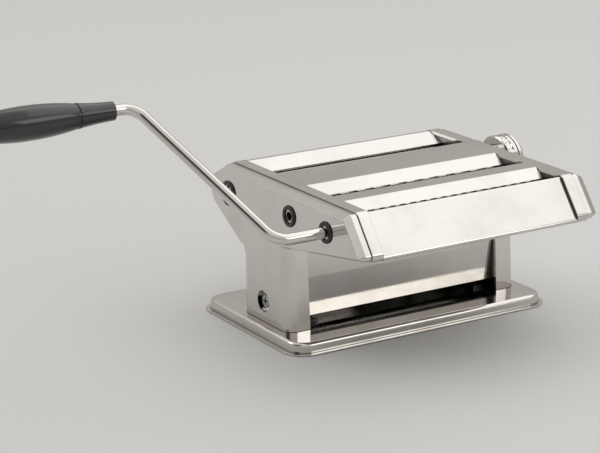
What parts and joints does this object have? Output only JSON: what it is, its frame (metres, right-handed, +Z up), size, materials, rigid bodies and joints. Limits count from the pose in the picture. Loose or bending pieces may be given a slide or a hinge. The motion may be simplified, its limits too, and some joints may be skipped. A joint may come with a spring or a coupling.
{
  "type": "pasta roller machine",
  "caption": "Chrome hand-cranked pasta machine: T-shaped body on a flat base, smooth rollers with a regulator knob, cutter rollers and a pull-out crank.",
  "frame": {"origin": "middle of the base's flat rest face, on the table", "axes": "+X along the rollers to the knob side, with the crank at -X; +Y to the back; +Z up"},
  "size_m": [0.4119, 0.1939, 0.1733],
  "materials": {
    "chrome_plate": "polished",
    "steel": "zinc plated",
    "roller_metal": "ground and nickel plated",
    "stripper_steel": "stamped",
    "bush_bronze": "sintered",
    "grommet_plastic": "moulded",
    "grip_plastic": "glossy moulded",
    "foot_rubber": "moulded"
  },
  "bodies": {
    "frame": {"base_plate": "chrome_plate", "left_side_cover": "chrome_plate", "right_side_cover": "chrome_plate", "front_panel": "chrome_plate", "rear_panel": "chrome_plate", "front_head_cover": "chrome_plate", "rear_head_cover": "chrome_plate", "roller_top_plate": "chrome_plate", "cutter_top_plate": "chrome_plate", "middle_underside_plate": "chrome_plate", "rear_underside_plate": "chrome_plate", "dial_ring": "chrome_plate", "left_side_frame": "steel", "right_side_frame": "steel", "tie_rods": "steel", "base_screws": "steel", "cover_screws": "steel", "wide_rear_comb": "stripper_steel", "wide_front_comb": "stripper_steel", "narrow_rear_comb": "stripper_steel", "narrow_front_comb": "stripper_steel", "fixed_roller_scraper": "stripper_steel", "adjustable_roller_scraper": "stripper_steel", "left_bushes": "bush_bronze", "right_bushes": "bush_bronze", "socket_grommets": "grommet_plastic", "rubber_feet": "foot_rubber"},
    "fixed_roller": {"fixed_smooth_roller": "roller_metal", "fixed_roller_gear": "steel"},
    "regulator": {"regulator_shaft": "steel", "regulator_eccentrics": "steel", "knob_spring": "steel"},
    "floating_bushes": {"eccentric_bushes": "bush_bronze"},
    "adjustable_roller": {"adjustable_smooth_roller": "roller_metal", "adjustable_roller_gear": "steel"},
    "knob": {"regulator_knob": "chrome_plate", "detent_pin": "steel"},
    "wide_driven": {"wide_cutter_rear": "roller_metal", "wide_rear_gear": "steel"},
    "wide_idler": {"wide_cutter_front": "roller_metal", "wide_front_gear": "steel"},
    "narrow_driven": {"narrow_cutter_rear": "roller_metal", "narrow_rear_gear": "steel"},
    "narrow_idler": {"narrow_cutter_front": "roller_metal", "narrow_front_gear": "steel"},
    "crank": {"crank_rod": "chrome_plate", "grip_rivet": "steel"},
    "grip": {"crank_grip": "grip_plastic"}
  },
  "joints": [
    {"name": "fixed_roller_spin", "type": "hinge", "parent": "frame", "child": "fixed_roller", "pos_m": [0, 0.037, 0.087], "axis": [1, 0, 0], "continuous": true},
    {"name": "regulator_turn", "type": "hinge", "parent": "frame", "child": "regulator", "pos_m": [0, 0.00845, 0.08566], "axis": [-1, 0, 0], "range_deg": [0, 100]},
    {"name": "bush_counter_turn", "type": "hinge", "parent": "regulator", "child": "floating_bushes", "pos_m": [0, 0.0072, 0.08671], "axis": [-1, 0, 0], "range_deg": [-100, 0]},
    {"name": "adjustable_roller_spin", "type": "hinge", "parent": "floating_bushes", "child": "adjustable_roller", "pos_m": [0, 0.0072, 0.08671], "axis": [1, 0, 0], "continuous": true},
    {"name": "knob_pull", "type": "slide", "parent": "regulator", "child": "knob", "axis": [1, 0, 0], "range_m": [0, 0.003], "stiffness_N_per_m": 1200, "springref_m": -0.004, "deforming": ["knob_spring"]},
    {"name": "wide_cutter_spin", "type": "hinge", "parent": "frame", "child": "wide_driven", "pos_m": [0, -0.04335, 0.09], "axis": [1, 0, 0], "continuous": true},
    {"name": "wide_idler_spin", "type": "hinge", "parent": "frame", "child": "wide_idler", "pos_m": [0, -0.05935, 0.09], "axis": [1, 0, 0], "continuous": true},
    {"name": "narrow_cutter_spin", "type": "hinge", "parent": "frame", "child": "narrow_driven", "pos_m": [0, -0.088, 0.09], "axis": [1, 0, 0], "continuous": true},
    {"name": "narrow_idler_spin", "type": "hinge", "parent": "frame", "child": "narrow_idler", "pos_m": [0, -0.104, 0.09], "axis": [1, 0, 0], "continuous": true},
    {"name": "crank_pull_out", "type": "slide", "parent": "narrow_driven", "child": "crank", "axis": [-1, 0, 0], "range_m": [0, 0.03]},
    {"name": "grip_spin", "type": "hinge", "parent": "crank", "child": "grip", "pos_m": [0, 0.012, 0.162], "axis": [1, 0, 0], "continuous": true}
  ],
  "couplings": [
    {"joint": "bush_counter_turn", "follows": "regulator_turn", "ratio": -1},
    {"joint": "adjustable_roller_spin", "follows": "fixed_roller_spin", "ratio": -1},
    {"joint": "wide_idler_spin", "follows": "wide_cutter_spin", "ratio": -1},
    {"joint": "narrow_idler_spin", "follows": "narrow_cutter_spin", "ratio": -1}
  ]
}
